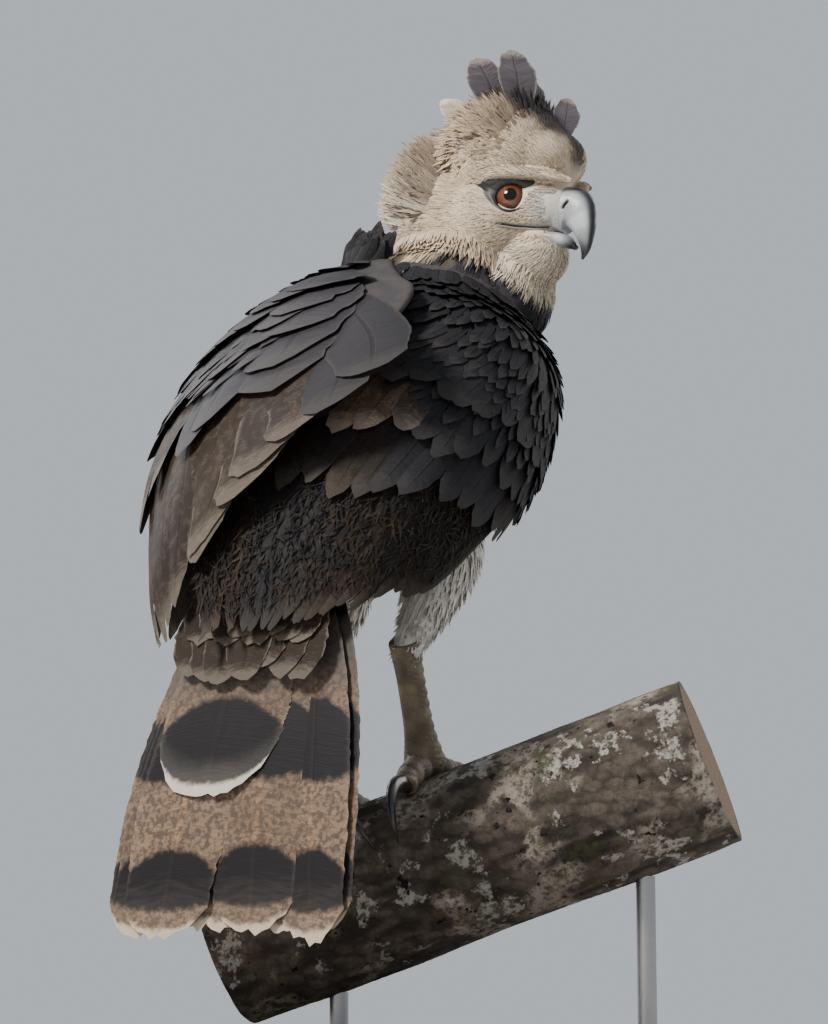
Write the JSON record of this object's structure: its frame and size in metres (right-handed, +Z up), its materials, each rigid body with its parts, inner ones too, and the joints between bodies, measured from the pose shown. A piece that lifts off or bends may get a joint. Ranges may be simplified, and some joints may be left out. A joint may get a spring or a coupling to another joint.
{
  "type": "life-size harpy eagle on a branch perch with display stand",
  "caption": "Life-size perched harpy eagle looking back over its right shoulder, gripping a sloping branch held on a flat display base by short rods.",
  "frame": {"origin": "centre of the display base's underside", "axes": "+Z up; the eagle's breast faces -Y, its left side is +X and its tail hangs at +Y; the branch rises towards -X"},
  "size_m": [0.5543, 0.408, 0.9832],
  "materials": {
    "slate_feathers": "matt slate and blackish-brown feathers",
    "pale_feathers": "soft buff-grey feathers",
    "white_feathers": "soft white feathers, thinly barred",
    "banded_feathers": "stiff feathers, mottled and barred with black",
    "yellow_skin": "dull yellow scuted skin",
    "black_horn": "polished black horn",
    "grey_horn": "blue-grey horn with a black ridge",
    "brown_eye": "wet reddish-brown iris and black pupil",
    "bark": "rough bark with lichen",
    "base_wood": "dark satin wood",
    "rod_steel": "plain round steel"
  },
  "bodies": {
    "root": {"bill_lower": "grey_horn", "bill_upper": "grey_horn", "claw_left_hallux": "black_horn", "claw_left_inner": "black_horn", "claw_left_middle": "black_horn", "claw_left_outer": "black_horn", "claw_right_hallux": "black_horn", "claw_right_inner": "black_horn", "claw_right_middle": "black_horn", "claw_right_outer": "black_horn", "eye_left": "brown_eye", "eye_right": "brown_eye", "foot_left": "yellow_skin", "foot_right": "yellow_skin", "head": "pale_feathers", "neck": "slate_feathers", "perch_branch": "bark", "stand_base": "base_wood", "stand_rod_high": "rod_steel", "stand_rod_low": "rod_steel", "tail": "banded_feathers", "tarsus_left": "yellow_skin", "tarsus_right": "yellow_skin", "thigh_left": "white_feathers", "thigh_right": "white_feathers", "torso": "slate_feathers", "wing_left": "slate_feathers", "wing_right": "slate_feathers"}
  },
  "joints": []
}
